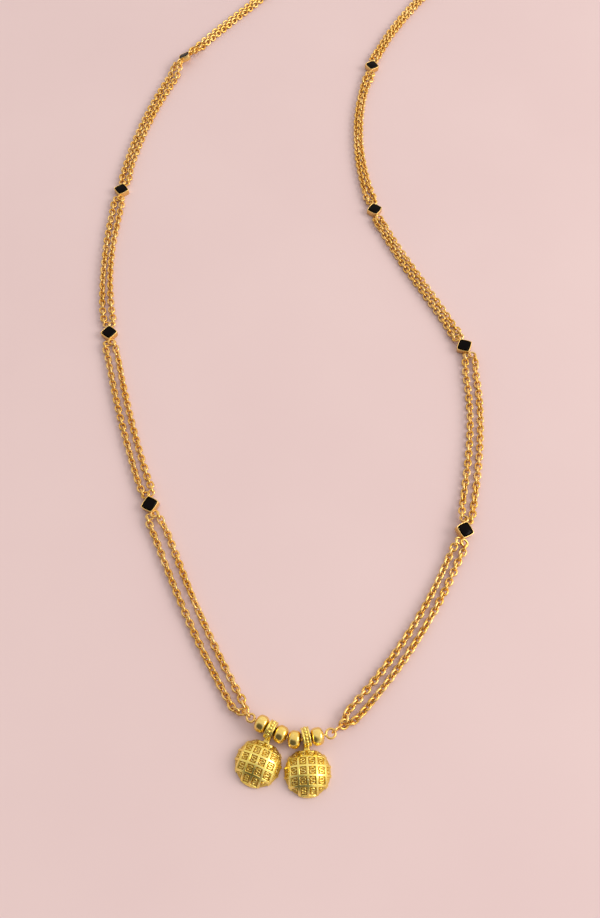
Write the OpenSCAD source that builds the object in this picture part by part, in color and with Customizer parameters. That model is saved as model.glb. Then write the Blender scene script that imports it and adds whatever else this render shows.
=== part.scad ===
// A long two-strand mangalsutra of yellow gold and black stones, laid face up on a flat surface.
// Two domed cups hang on a bent wire between four beads. On each side the wire's eye takes a link,
// and two fine chains run from there through five square settings to a hook behind the neck.
// Millimetres, +Z up, the pendant towards -Y. The floor is z = 0 and the middle of the whole is x = y = 0.

/* [Chains] */
// Width of one chain over its links
strand_w = 1.32; // [1.2:0.02:1.4]
// Sections along one chain between two settings
strand_sections = 16; // [12:1:20]
// Length over which a chain comes down from a setting to the floor
settle_len = 7; // [5:0.5:10]

/* [Settings] */
// Half side of a square setting, at its corners
bezel_half = 1.76; // [1.74:0.01:1.8]
// How far each side of a setting bulges
bezel_bulge = 0.15; // [0.08:0.01:0.2]
// Height of a setting
bezel_h = 1.8; // [1.76:0.02:2]
// Thickness of a setting's back
back_t = 0.5; // [0.4:0.05:0.55]
// Wall of a setting beside its stone
wall_w = 0.15; // [0.14:0.01:0.16]
// Width of the rim that holds the stone
rim_w = 0.25; // [0.24:0.01:0.3]
// Thickness of that rim
rim_t = 0.2; // [0.16:0.01:0.22]
// Mean radius of the ring soldered to each end of a setting
lug_r = 0.7; // [0.66:0.01:0.7]
// Wire radius of that ring
lug_wire = 0.16; // [0.14:0.01:0.17]

/* [Stones] */
// Half side of a stone at its widest
stone_half = 1.52; // [1.5:0.01:1.52]
// Half side of the flat table on top
table_half = 1.15; // [0.9:0.05:1.2]
// Height of the table over the floor of a flat setting
table_z = 1.83; // [1.8:0.01:1.9]
// Gap between a stone and its setting
stone_gap = 0.1; // [0.06:0.02:0.1]

/* [Wire and beads] */
// Wire radius of the bent wire
wire_r = 0.35; // [0.3:0.01:0.38]
// Mean radius of its bend
bend_r = 7; // [6:0.5:8]
// Wire radius of the eyes at its ends
eye_wire = 0.3; // [0.24:0.01:0.3]
// Diameter of a bead
bead_d = 4.2; // [4:0.05:4.3]
// Length of a bead
bead_len = 3.1; // [2.8:0.05:3.1]
// Radius of a bead's hole
bead_hole_r = 0.65; // [0.62:0.01:0.8]

/* [Cups] */
// Diameter of a cup
cup_d = 11.1; // [10.6:0.1:11.2]
// Distance from a cup's middle to the straight cut across its top
cup_cut = 4.72; // [4.6:0.02:4.9]
// Height of a cup
cup_h = 4; // [3.6:0.1:4.2]
// Height of the straight edge round a cup
cup_edge_h = 0.6; // [0.5:0.1:0.9]
// Thickness of a cup's wall between the ribs
cup_wall = 0.8; // [0.6:0.1:1]
// Height of the ribs over that wall
rib_h = 0.4; // [0.25:0.05:0.4]
// Depth of the fields at the cup's side
side_depth = 0.2; // [0.08:0.01:0.2]
// Width of a rib
rib_w = 0.6; // [0.5:0.05:0.8]
// Distance from rib to rib across the cup
rib_pitch_x = 2.12; // [2:0.02:2.2]
// Distance from rib to rib along the cup
rib_pitch_y = 2.2; // [2:0.05:2.3]
// Diameter of the bail over its plain edges
bail_d = 4.6; // [4.3:0.02:4.7]
// Width of the bail
bail_w = 1.8; // [1.6:0.05:1.8]
// Radius of the bail's hole
bail_hole_r = 0.95; // [0.8:0.05:1.1]
// Distance from the bail's middle to the cup's middle
bail_reach = 7.65; // [7.6:0.05:7.9]

/* [Links and clasp] */
// Wire radius of the joining links
link_wire = 0.225; // [0.2:0.005:0.23]
// Mean radius of the ring that gathers the two right chains
gather_r = 1.1; // [1:0.05:1.15]
// Wire radius of that ring
gather_wire = 0.3; // [0.25:0.01:0.3]
// Mean radius of the two rings at the hook
end_ring_r = 1.3; // [1.25:0.05:1.4]
// Wire radius of those rings
end_ring_wire = 0.3; // [0.25:0.01:0.3]
// Mean radius of the hook's two bends
hook_r = 1.4; // [1.35:0.05:1.45]
// Wire radius of the hook
hook_wire = 0.4; // [0.35:0.01:0.4]

/* [Hidden] */
SIDES = ["left", "right"];
SETTINGS = [1:5];
STRETCHES = [1:6];
STRANDS = ["a", "b"];
BEADS = [1:4];

GOLD = [0.93, 0.72, 0.27];
LEMON_GOLD = [0.92, 0.78, 0.25];
BLACK = [0.04, 0.03, 0.03];
ROUND = 48;
SIDES_OF_STRAND = 8;
MM_OVER = 0.01;

// A setting's corners are cut back by the trim, and its rings' middles lie past them
CORNER_TRIM = 0.07;
LUG_OUT = 0.4;
// The belt of a stone, where it is widest, lies between these heights, and its point is cut off below
BELT_Z = [1.2, 1.32];
POINT_SHARE = 0.6;
// The bosses in the grid's fields, and how far inside the edge the last of them stand
BOSS_R = 0.4;
BOSS_INSET = 0.8;
// The bead's outline is a little squarer than an ellipse
BEAD_POWER = 0.72;
BEAD_STEPS = 18;

// Places along each half of the necklace, from the pendant to the hook. The first row is where the
// chains start, the last where they end, and the rows between are the five settings.
// x, y, heading of the chains that come in, heading of those that leave, heading of the setting itself,
// roll of the setting about its own heading
X = 0;
Y = 1;
COMES = 2;
LEAVES = 3;
SPIN = 4;
ROLL = 5;
LEFT_PLACES = [
    [-17.0, -151.5, 121, 121, 121, 0],
    [-42.5, -98.0, 112, 110, 104, -9],
    [-58.8, -42.5, 102, 102, 96, 0],
    [-60.3, 13.6, 83, 85, 80, 0],
    [-43.5, 75.6, 66, 57, 52, -27],
    [-7.5, 123.0, 56, 56, 56, 0],
    [38.75, 169.5, 7, 7, 7, 0]];
RIGHT_PLACES = [
    [8.5, -153.5, 46.5, 46.5, 46.5, 0],
    [39.7, -105.4, 68, 77, 75, 14],
    [44.6, -47.4, 100, 112, 115, -8],
    [20.6, 5.2, 107.5, 104, 102, 0],
    [22.2, 71.7, 72, 73, 79, 4],
    [51.0, 123.5, 58, 58, 58, 0],
    [48.75, 169.5, 174, 174, 174, 0]];

// Half the distance between the two chains in each stretch: after its start, in its middle, before its end
LEFT_SPREADS = [
    [1.5, 1.6, 1.7], [1.35, 1.35, 1.4], [1.3, 1.0, 1.2],
    [1.0, 1.0, 1.2], [0.85, 0.76, 0.76], [0.9, 1.0, 1.1]];
RIGHT_SPREADS = [
    [1.35, 1.3, 1.3], [1.5, 1.4, 1.45], [0.9, 1.0, 0.85],
    [0.95, 0.76, 0.76], [0.76, 0.76, 0.8], [0.95, 1.0, 1.1]];
END_SPREAD = 1.4;
SPREAD_AT = [0.15, 0.5, 0.85];
HANDLE_SHARE = 0.35;

// How far from a place its chains begin
SETTING_REACH = 3;
END_REACH = 0.4;
// Height of the chains' middle where they start and where they end
LEFT_START_Z = 1.3;
RIGHT_START_Z = 1.1;

// The bent wire: the point where its two straight runs would meet, and their headings
BEND = [-4.35, -158.93];
LEFT_RUN = -27.8;
RIGHT_RUN = 12;
// Places along the wire from the middle of its bend, negative to the left
LEFT_EYE_AT = -11.45;
RIGHT_EYE_AT = 8.6;
LEFT_EYE_R = 0.92;
RIGHT_EYE_R = 1.08;
// Half the angle that an eye's curl leaves open, and radius of the drop of solder that closes it
EYE_OPEN = 8;
SOLDER_R = 0.38;
BEAD_AT = [-8.5, -3.41, 0.0, 5.4];
LEFT_BAIL_AT = -5.95;
RIGHT_BAIL_AT = 2.75;
// How far each cup hangs turned from straight down, to the left
LEFT_CUP_LEAN = 22;
RIGHT_CUP_LEAN = -2.4;
// How far each cup is pushed up along its lean, because the wire is loose in the bails
LEFT_CUP_PUSH = -0.25;
RIGHT_CUP_PUSH = 0.45;

// The links that join the wire's eyes to the chains: heading, slope down, outer length and height
LEFT_LINK_HEADING = 137;
LEFT_LINK_SLOPE = 36;
LEFT_LINK_LEN = 2.9;
LEFT_LINK_H = 2;
RIGHT_LINK_HEADING = 39.3;
RIGHT_LINK_H = 2.24;
// Gap between these links' ends and the wire that each end holds
LINK_GAP = 0.1;
GATHER_GAP = 0.25;
// Middle of the ring that gathers the right chains, and its tilt about the link's heading
GATHER_AT = [7.33, -154.71, 1.1];
GATHER_TILT = 35;

// The hook's middle, how far round each of its bends goes, and the two rings that it holds
HOOK_AT = [43.75, 169.5];
HOOK_TURN = 290;
END_RING_OUT = 3.25;
END_RING_TILT = 60;

// Derived from the above
wire_z = bail_d / 2;
turn_of_bend = RIGHT_RUN - LEFT_RUN;
half_bend = bend_r * turn_of_bend / 2 * PI / 180;
middle_heading = (LEFT_RUN + RIGHT_RUN) / 2;
bend_middle = BEND + bend_r / cos(turn_of_bend / 2) * [-sin(middle_heading), cos(middle_heading)];
corner_r = bezel_half * sqrt(2) - CORNER_TRIM;
lug_at = corner_r + LUG_OUT;
strand_r = strand_w / 2;
cup_r = cup_d / 2;
dome_r = (cup_r * cup_r + pow(cup_h - cup_edge_h, 2)) / (2 * (cup_h - cup_edge_h));
hook_z = end_ring_r * sin(END_RING_TILT) + end_ring_wire;

function smooth(t) = let (u = min(max(t, 0), 1)) u * u * (3 - 2 * u);
function along(heading) = [cos(heading), sin(heading)];
function places(side) = side == "left" ? LEFT_PLACES : RIGHT_PLACES;
function spreads(side) = side == "left" ? LEFT_SPREADS : RIGHT_SPREADS;
function spot(side, i) = [places(side)[i][X], places(side)[i][Y]];
function is_setting(i) = i >= 1 && i <= 5;

// A rolled setting stands on the edge of its back, so its middle rises
function place_z(side, i) =
    let (roll = abs(places(side)[i][ROLL]))
    is_setting(i) ? bezel_h / 2 * cos(roll) + corner_r * sin(roll)
    : i == 6 ? hook_z
    : side == "left" ? LEFT_START_Z : RIGHT_START_Z;

// One stretch of chain is a cubic curve that leaves one place and reaches the next at their headings
function handle(side, i) =
    let (turn = places(side)[i][COMES] - places(side)[i - 1][LEAVES])
    HANDLE_SHARE / pow(cos(turn / 4), 2) * norm(spot(side, i) - spot(side, i - 1));
function controls(side, i) =
    let (reach = handle(side, i))
    [spot(side, i - 1),
     spot(side, i - 1) + reach * along(places(side)[i - 1][LEAVES]),
     spot(side, i) - reach * along(places(side)[i][COMES]),
     spot(side, i)];
function curve_at(c, t) =
    pow(1 - t, 3) * c[0] + 3 * pow(1 - t, 2) * t * c[1] + 3 * (1 - t) * t * t * c[2] + t * t * t * c[3];
function curve_way(c, t) =
    let (d = pow(1 - t, 2) * (c[1] - c[0]) + 2 * (1 - t) * t * (c[2] - c[1]) + t * t * (c[3] - c[2]))
    d / norm(d);

// The chains start where the setting's own ring is, which may be turned from the chain's heading
function reach_at(i) = is_setting(i) ? SETTING_REACH : END_REACH;
function shift_at(side, i, heading) =
    reach_at(i) * (along(places(side)[i][SPIN]) - along(places(side)[i][heading]));
function spread_at(side, i, t) =
    let (s = spreads(side)[i - 1])
    lookup(t, [
        [0, END_SPREAD],
        [SPREAD_AT[0], s[0]],
        [SPREAD_AT[1], s[1]],
        [SPREAD_AT[2], s[2]],
        [1, END_SPREAD]]);

// Middle of one chain at the share t of stretch i. hand is 1 for the chain on the left of its way, -1 for
// the other. At a rolled setting the two lie on the two sides of its ring, so they roll with it.
function strand_middle(side, i, hand, t) =
    let (c = controls(side, i),
         size = norm(c[3] - c[0]),
         from_start = smooth(1 - (t * size - reach_at(i - 1)) / settle_len),
         from_end = smooth(1 - ((1 - t) * size - reach_at(i)) / settle_len),
         roll = from_start * places(side)[i - 1][ROLL] + from_end * places(side)[i][ROLL],
         offset = hand * spread_at(side, i, t),
         way = curve_way(c, t),
         flat = curve_at(c, t)
             + from_start * shift_at(side, i - 1, LEAVES) - from_end * shift_at(side, i, COMES)
             + offset * cos(roll) * [-way[1], way[0]],
         z = strand_r + offset * sin(roll)
             + from_start * (place_z(side, i - 1) - strand_r) + from_end * (place_z(side, i) - strand_r))
    [flat[0], flat[1], max(z, strand_r)];
function strand_share(side, i, k) =
    let (speed = 3 * handle(side, i),
         first = reach_at(i - 1) / speed,
         last = 1 - reach_at(i) / speed)
    first + (last - first) * k / (strand_sections - 1);

// Point and heading on the bent wire, at a distance from the middle of its bend
function wire_heading(s) = min(max(middle_heading + s / bend_r * 180 / PI, LEFT_RUN), RIGHT_RUN);
function wire_at(s) =
    let (over = max(abs(s) - half_bend, 0) * sign(s), h = wire_heading(s))
    bend_middle + bend_r * [sin(h), -cos(h)] + over * along(h);
function wire_point(s) = [wire_at(s)[0], wire_at(s)[1], wire_z];

module ring(mean_r, wire) {
    rotate_extrude($fn = ROUND)
        translate([mean_r, 0])
            circle(r = wire, $fn = ROUND / 2);
}

// A link with round ends and straight sides, long along X, its opening facing Y
module oval_link(length, height, wire) {
    bend = height / 2 - wire;
    straight = length / 2 - height / 2;
    rotate([90, 0, 0]) {
        for (end = [-1, 1])
            translate([end * straight, 0, 0])
                rotate([0, 0, -90 * end])
                    rotate_extrude(angle = 180, $fn = ROUND)
                        translate([bend, 0])
                            circle(r = wire, $fn = ROUND / 2);
        for (side = [-1, 1])
            translate([-straight, side * bend, 0])
                rotate([0, 90, 0])
                    cylinder(r = wire, h = 2 * straight, $fn = ROUND / 2);
        for (end = [-1, 1])
            for (side = [-1, 1])
                translate([end * straight, side * bend, 0])
                    sphere(r = wire + MM_OVER, $fn = ROUND / 2);
    }
}

// A square block with four bulged sides, its corners on the X and Y axes
module cushion(half, height) {
    side_r = (half * half + bezel_bulge * bezel_bulge) / (2 * bezel_bulge);
    intersection_for (turn = [45 : 90 : 315])
        rotate([0, 0, turn])
            translate([half + bezel_bulge - side_r, 0, 0])
                cylinder(r = side_r, h = height, $fn = 4 * ROUND);
}

// Brings a piece drawn flat at the origin, its chain along X, to a setting's place, heading and roll
module at_setting(side, i) {
    row = places(side)[i];
    translate([row[X], row[Y], place_z(side, i)])
        rotate([0, 0, row[SPIN]])
            rotate([row[ROLL], 0, 0])
                translate([0, 0, -bezel_h / 2])
                    children();
}

module bezel() {
    color(GOLD)
    difference() {
        union() {
            intersection() {
                cushion(bezel_half, bezel_h);
                cylinder(r = corner_r, h = bezel_h, $fn = 2 * ROUND);
            }
            for (end = [-1, 1])
                translate([end * lug_at, 0, bezel_h / 2])
                    rotate([90, 0, 0])
                        ring(lug_r, lug_wire);
        }
        translate([0, 0, back_t])
            cushion(bezel_half - wall_w, bezel_h - back_t - rim_t);
        translate([0, 0, bezel_h - rim_t - MM_OVER])
            cushion(bezel_half - rim_w, rim_t + 2 * MM_OVER);
    }
}

// Eight-sided outline of a stone at one height, its corners on the X and Y axes
function stone_outline(half, z) =
    [for (i = [0:7])
        let (r = i % 2 == 0 ? half * sqrt(2) : half * (1 + bezel_bulge / bezel_half))
        [r * cos(45 * i), r * sin(45 * i), z]];

// Outlines stacked from the bottom up and joined by flat facets
module stacked(outlines) {
    n = len(outlines[0]);
    top = n * (len(outlines) - 1);
    points = [for (outline = outlines) each outline];
    bottom_face = [for (j = [0 : n - 1]) j];
    top_face = [for (j = [n - 1 : -1 : 0]) top + j];
    facets = [for (i = [0 : len(outlines) - 2]) for (j = [0 : n - 1])
        let (k = (j + 1) % n)
        [n * i + j, n * (i + 1) + j, n * (i + 1) + k, n * i + k]];
    polyhedron(points, concat([bottom_face, top_face], facets), convexity = 4);
}

// Blunt point below, belt, sloping crown and flat table
module stone() {
    color(BLACK)
    stacked([
        stone_outline(POINT_SHARE * stone_half, back_t + stone_gap),
        stone_outline(stone_half, BELT_Z[0]),
        stone_outline(stone_half, BELT_Z[1]),
        stone_outline(table_half, table_z)]);
}

module strand(side, i, hand) {
    shares = [for (k = [0 : strand_sections - 1]) strand_share(side, i, k)];
    n = SIDES_OF_STRAND;
    points = [for (t = shares)
        let (middle = strand_middle(side, i, hand, t), way = curve_way(controls(side, i), t))
        for (j = [0 : n - 1])
            let (a = 360 * j / n)
            middle + strand_r * [-way[1] * cos(a), way[0] * cos(a), sin(a)]];
    first = [for (j = [0 : n - 1]) j];
    last = [for (j = [n - 1 : -1 : 0]) n * (strand_sections - 1) + j];
    sides = [for (k = [0 : strand_sections - 2]) for (j = [0 : n - 1])
        let (a = n * k + j, b = n * k + (j + 1) % n)
        each [[a, b + n, b], [a, a + n, b + n]]];
    color(GOLD)
    polyhedron(points, concat([first, last], sides), convexity = 6);
}

// Half section of a drilled bead: distance from the wire and place along it
function bead_outline() =
    let (first = asin(pow(2 * bead_hole_r / bead_d, 1 / BEAD_POWER)))
    [for (k = [0 : BEAD_STEPS])
        let (a = first + (180 - 2 * first) * k / BEAD_STEPS)
        [bead_d / 2 * pow(sin(a), BEAD_POWER), bead_len / 2 * sign(cos(a)) * pow(abs(cos(a)), BEAD_POWER)]];

module bead(i) {
    color(LEMON_GOLD)
    translate(wire_point(BEAD_AT[i - 1]))
        rotate([0, 90, wire_heading(BEAD_AT[i - 1])])
            rotate_extrude($fn = 2 * ROUND)
                polygon(bead_outline());
}

module wire_run(from, to) {
    translate(wire_point(from))
        rotate([0, 0, wire_heading(from)])
            rotate([0, 90, 0])
                cylinder(r = wire_r, h = to - from, $fn = ROUND);
}

// The wire's end is curled into an eye, and a drop of solder closes it where the run begins
module eye(at, mean_r, run_heading) {
    translate(wire_point(at))
        rotate([0, 0, run_heading]) {
            rotate([0, 0, EYE_OPEN])
                rotate_extrude(angle = 360 - 2 * EYE_OPEN, $fn = ROUND)
                    translate([mean_r, 0])
                        circle(r = eye_wire, $fn = ROUND / 2);
            translate([mean_r, 0, 0])
                rotate([0, 90, 0])
                    sphere(r = SOLDER_R, $fn = ROUND);
        }
}

module pendant_wire() {
    color(GOLD)
    union() {
        eye(LEFT_EYE_AT, LEFT_EYE_R, LEFT_RUN);
        wire_run(LEFT_EYE_AT + LEFT_EYE_R, -half_bend);
        translate([bend_middle[0], bend_middle[1], wire_z])
            rotate([0, 0, LEFT_RUN - 90])
                rotate_extrude(angle = turn_of_bend, $fn = 4 * ROUND)
                    translate([bend_r, 0])
                        circle(r = wire_r, $fn = ROUND);
        wire_run(half_bend, RIGHT_EYE_AT - RIGHT_EYE_R);
        for (joint = [-half_bend, half_bend])
            translate(wire_point(joint))
                rotate([0, 90, wire_heading(joint)])
                    sphere(r = wire_r + MM_OVER, $fn = ROUND);
        eye(RIGHT_EYE_AT, RIGHT_EYE_R, RIGHT_RUN + 180);
    }
}

module joint_link_left() {
    inner = LEFT_LINK_LEN / 2 - 2 * link_wire;
    hooked = inner - eye_wire - LINK_GAP;
    eye_end = wire_point(LEFT_EYE_AT) + LEFT_EYE_R * [cos(LEFT_LINK_HEADING), sin(LEFT_LINK_HEADING), 0];
    color(GOLD)
    translate(eye_end)
        rotate([0, LEFT_LINK_SLOPE, LEFT_LINK_HEADING])
            translate([hooked, 0, 0])
                oval_link(LEFT_LINK_LEN, LEFT_LINK_H, link_wire);
}

module joint_link_right() {
    way = [cos(RIGHT_LINK_HEADING), sin(RIGHT_LINK_HEADING), 0];
    eye_end = wire_point(RIGHT_EYE_AT) + RIGHT_EYE_R * way;
    ring_end = GATHER_AT - gather_r * way;
    gap = ring_end - eye_end;
    slope = asin(-gap[2] / norm(gap));
    near = eye_wire + LINK_GAP;
    far = gather_wire + GATHER_GAP;
    length = near + norm(gap) + far + 4 * link_wire;
    color(GOLD)
    translate((eye_end + ring_end) / 2 + (far - near) / 2 * gap / norm(gap))
        rotate([0, slope, RIGHT_LINK_HEADING])
            oval_link(length, RIGHT_LINK_H, link_wire);
}

module gather_ring_right() {
    color(GOLD)
    translate(GATHER_AT)
        rotate([0, 0, RIGHT_LINK_HEADING])
            rotate([GATHER_TILT, 0, 0])
                ring(gather_r, gather_wire);
}

// Solid under the cup's dome, drawn in from the dome and from the sides by the depths given
module cup_dome(depth, from_side) {
    intersection() {
        cylinder(r = cup_r - from_side, h = cup_h, $fn = 2 * ROUND);
        translate([0, 0, cup_h - dome_r])
            sphere(r = dome_r - depth, $fn = 2 * ROUND);
        translate([-cup_r, -cup_r, 0])
            cube([cup_d, cup_r + cup_cut - from_side, cup_h]);
    }
}

// The grid runs up and across the cup, with one rib up its middle and a row of fields on its middle
module cup_grid() {
    for (i = [-2 : 2])
        translate([i * rib_pitch_x - rib_w / 2, -cup_r, 0])
            cube([rib_w, cup_d, cup_h]);
    for (i = [-1.5 : 1.5])
        translate([-cup_r, i * rib_pitch_y - rib_w / 2, 0])
            cube([cup_d, rib_w, cup_h]);
}

// A round boss in each field that lies wholly on the dome
module cup_bosses() {
    for (i = [-2.5 : 2.5])
        for (j = [-2 : 2])
            if (norm([i * rib_pitch_x, j * rib_pitch_y]) < cup_r - BOSS_INSET)
                translate([i * rib_pitch_x, j * rib_pitch_y, 0])
                    cylinder(r = BOSS_R, h = cup_h, $fn = ROUND / 2);
}

// The bail has two plain raised edges and a sunk middle band for the beaded line
module bail() {
    edge_w = 0.4;
    band_depth = 0.15;
    rotate([0, 90, 0])
        difference() {
            cylinder(r = bail_d / 2, h = bail_w, center = true, $fn = 2 * ROUND);
            difference() {
                cylinder(r = bail_d, h = bail_w - 2 * edge_w, center = true, $fn = 2 * ROUND);
                cylinder(r = bail_d / 2 - band_depth, h = bail_w, center = true, $fn = 2 * ROUND);
            }
        }
}

// Cup, neck and bail are soldered together. The cup is hollow and open at the back.
module vati(bail_at, lean, push) {
    neck_w = 1.4;
    neck_low = 0.3;
    neck_top = 1.7;
    neck_start = cup_cut - cup_wall / 2;
    color(LEMON_GOLD)
    translate(wire_point(bail_at) + push * [sin(lean), cos(lean), 0] - [0, 0, wire_z])
        difference() {
            union() {
                rotate([0, 0, -lean])
                    translate([0, -bail_reach, 0]) {
                        cup_dome(rib_h, side_depth);
                        intersection() {
                            cup_dome(0, 0);
                            cup_grid();
                        }
                        intersection() {
                            cup_dome(rib_h / 2, side_depth / 2);
                            cup_bosses();
                        }
                        translate([-neck_w / 2, neck_start, neck_low])
                            cube([neck_w, bail_reach - neck_start, neck_top - neck_low]);
                    }
                translate([0, 0, wire_z])
                    rotate([0, 0, wire_heading(bail_at)])
                        bail();
            }
            rotate([0, 0, -lean])
                translate([0, -bail_reach, -MM_OVER])
                    cup_dome(rib_h + cup_wall, side_depth + cup_wall);
            translate([0, 0, wire_z])
                rotate([0, 90, wire_heading(bail_at)])
                    cylinder(r = bail_hole_r, h = 2 * bail_w, center = true, $fn = ROUND);
        }
}

module end_ring(out) {
    color(GOLD)
    translate([HOOK_AT[0] + out * END_RING_OUT, HOOK_AT[1], hook_z])
        rotate([END_RING_TILT, 0, 0])
            ring(end_ring_r, end_ring_wire);
}

// A flat S of wire with a ball at each tip
module clasp() {
    ball_r = 1.25 * hook_wire;
    color(GOLD)
    translate([HOOK_AT[0], HOOK_AT[1], hook_z])
        for (turn = [0, 180])
            rotate([0, 0, turn])
                translate([hook_r, 0, 0])
                    rotate([0, 0, 180]) {
                        rotate_extrude(angle = HOOK_TURN, $fn = 2 * ROUND)
                            translate([hook_r, 0])
                                circle(r = hook_wire, $fn = ROUND);
                        rotate([0, 0, HOOK_TURN])
                            translate([hook_r, 0, 0])
                                sphere(r = ball_r, $fn = ROUND);
                    }
}

vati(LEFT_BAIL_AT, LEFT_CUP_LEAN, LEFT_CUP_PUSH);  // vati_left
vati(RIGHT_BAIL_AT, RIGHT_CUP_LEAN, RIGHT_CUP_PUSH);  // vati_right
for (i = BEADS)
    bead(i);
pendant_wire();
joint_link_left();
joint_link_right();
gather_ring_right();
for (side = SIDES)
    for (i = SETTINGS) {
        at_setting(side, i) bezel();
        at_setting(side, i) stone();
    }
for (side = SIDES)
    for (i = STRETCHES) {
        strand(side, i, 1);
        strand(side, i, -1);
    }
end_ring(-1);  // end_ring_left
end_ring(1);  // end_ring_right
clasp();
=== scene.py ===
# %% [markdown]
# A mangalsutra is a wedding necklace: two gold chains side by side, black stones in gold settings
# between them, and at the front two small hollow cups, the vatis, on a bent wire with round beads.
# Here it lies on a pale table, seen from above and a little from the front.
#
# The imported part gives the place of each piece. This script dresses it: real interlocking links
# take the place of the plain tubes, and the cups get their pressed relief.

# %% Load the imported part
import math

import bpy
import numpy as np
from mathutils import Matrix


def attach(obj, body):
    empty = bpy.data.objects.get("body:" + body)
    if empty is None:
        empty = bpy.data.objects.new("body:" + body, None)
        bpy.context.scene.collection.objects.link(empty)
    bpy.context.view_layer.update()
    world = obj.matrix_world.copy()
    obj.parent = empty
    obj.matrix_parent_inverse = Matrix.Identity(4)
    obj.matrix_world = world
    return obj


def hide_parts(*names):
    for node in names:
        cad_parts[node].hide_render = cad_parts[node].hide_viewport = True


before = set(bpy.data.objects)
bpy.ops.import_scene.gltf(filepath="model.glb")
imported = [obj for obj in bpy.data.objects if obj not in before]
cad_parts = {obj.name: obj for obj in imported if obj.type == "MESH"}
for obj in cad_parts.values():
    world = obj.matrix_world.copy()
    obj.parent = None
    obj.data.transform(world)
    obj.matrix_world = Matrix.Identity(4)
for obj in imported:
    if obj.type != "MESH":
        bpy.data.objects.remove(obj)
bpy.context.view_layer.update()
print("nodes in the part:", len(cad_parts))

# %% [markdown]
# The camera comes first, because everything is judged through it. The chain pattern in the picture
# gets closer together towards the top, and that gives the camera's height and slant: it looks down
# at 62 degrees from 221 mm above the table. A 36 mm lens on a 36 mm sensor matches the frame.

# %% Camera
MM = 0.001
CAMERA_AT = (-3, -201, 220.9)
CAMERA_DEPRESSION = 62

camera = bpy.data.objects.new("Camera", bpy.data.cameras.new("Camera"))
camera.data.lens = 36
camera.data.sensor_width = 36
camera.data.clip_start = 10 * MM
camera.location = [MM * value for value in CAMERA_AT]
camera.rotation_euler = (math.radians(90 - CAMERA_DEPRESSION), 0, 0)
bpy.context.collection.objects.link(camera)
bpy.context.scene.camera = camera
print("camera height in mm:", CAMERA_AT[2])

# %% [markdown]
# Nearly every piece of this jewel is wire or sheet, so nearly every mesh is a stack of outlines
# joined into a skin. A modelling program calls that a loft. Curves with a bevel could draw the
# wires, but then each link would be an object of its own. Plain arrays of points are quicker, and
# nine hundred links can share one shape.

# %% Skins from stacked outlines
def signed_volume(points, faces):
    corners = points[faces]
    first = np.cross(corners[:, 1], corners[:, 2])
    second = np.cross(corners[:, 2], corners[:, 3])
    return (corners[:, 0] * (first + second)).sum() / 6


def loft(outlines, closed=False):
    """Points and four-sided faces of a skin over outlines of the same even number of points."""
    rows = np.asarray(outlines, float)
    count, around = rows.shape[:2]
    index = np.arange(count * around).reshape(count, around)
    low = index if closed else index[:-1]
    high = np.roll(index, -1, 0) if closed else index[1:]
    faces = [np.stack([low, np.roll(low, -1, 1), np.roll(high, -1, 1), high], -1).reshape(-1, 4)]
    points = rows.reshape(-1, 3)
    if not closed:
        for row, turn in ((0, -1), (-1, 1)):
            ring = index[row]
            centre = np.full(around // 2, len(points))
            fan = np.stack([centre, ring[0::2], ring[1::2], np.roll(ring, -2)[0::2]], -1)
            faces.append(fan if turn > 0 else fan[:, ::-1])
            points = np.vstack([points, rows[row].mean(0)])
    faces = np.concatenate(faces)
    if signed_volume(points, faces) < 0:
        faces = faces[:, ::-1]
    return points, faces


square = np.array([[1, 1, 0], [-1, 1, 0], [-1, -1, 0], [1, -1, 0]]) / 2
print("volume of a cube of 1 mm:", signed_volume(*loft([square, square + [0, 0, 1]])))


# %% Wires
def unit(vectors):
    return vectors / np.linalg.norm(vectors, axis=-1, keepdims=True)


def wire(path, radius, closed=False, sides=12):
    """A round wire along a path. Its section turns as little as the path lets it."""
    path = np.asarray(path, float)
    if closed:
        ways = unit(np.roll(path, -1, 0) - np.roll(path, 1, 0))
    else:
        ways = unit(np.gradient(path, axis=0))
    start = np.eye(3)[np.argmin(np.abs(ways[0]))]
    side = unit(np.cross(ways[0], start))
    sides_of_path = []
    for way in ways:
        side = unit(side - way * (side @ way))
        sides_of_path.append(side)
    across = np.array(sides_of_path)
    up = np.cross(ways, across)
    angle = np.arange(sides) * 2 * math.pi / sides
    radii = np.broadcast_to(radius, len(path))[:, None, None]
    circle = (np.cos(angle)[None, :, None] * across[:, None]
              + np.sin(angle)[None, :, None] * up[:, None])
    return loft(path[:, None] + radii * circle, closed)


def arc(radius, start, end, count):
    """Points on a flat circle about the origin, from one angle in degrees to another."""
    angle = np.radians(np.linspace(start, end, count))
    return np.column_stack([radius * np.cos(angle), radius * np.sin(angle), np.zeros(count)])


def ring(radius, wire_radius, steps=48, sides=14):
    return wire(arc(radius, 0, 360, steps + 1)[:-1], wire_radius, closed=True, sides=sides)


def oval(length, height, wire_radius, steps=10, sides=12):
    """A link with round ends and straight sides, long along X and lying flat."""
    bend = height / 2 - wire_radius
    straight = length / 2 - height / 2
    right = arc(bend, -90, 90, steps) + [straight, 0, 0]
    return wire(np.vstack([right, -right]), wire_radius, closed=True, sides=sides)


SAMPLE_LINK = (2.6, 2.1, 0.28)    # mm: length, width and the wire's radius
sample_points, sample_faces = oval(*SAMPLE_LINK)
print("a sample link of", SAMPLE_LINK, "has", len(sample_faces), "faces and",
      signed_volume(sample_points, sample_faces).round(2), "mm3")

# %% [markdown]
# A piece is put in place by a spin about the upright, a slope of its nose down and a roll about its
# own length, in the same order as in the part's source. Then its points become a mesh in metres
# that rides on the part and stands for one of its nodes.

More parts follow.
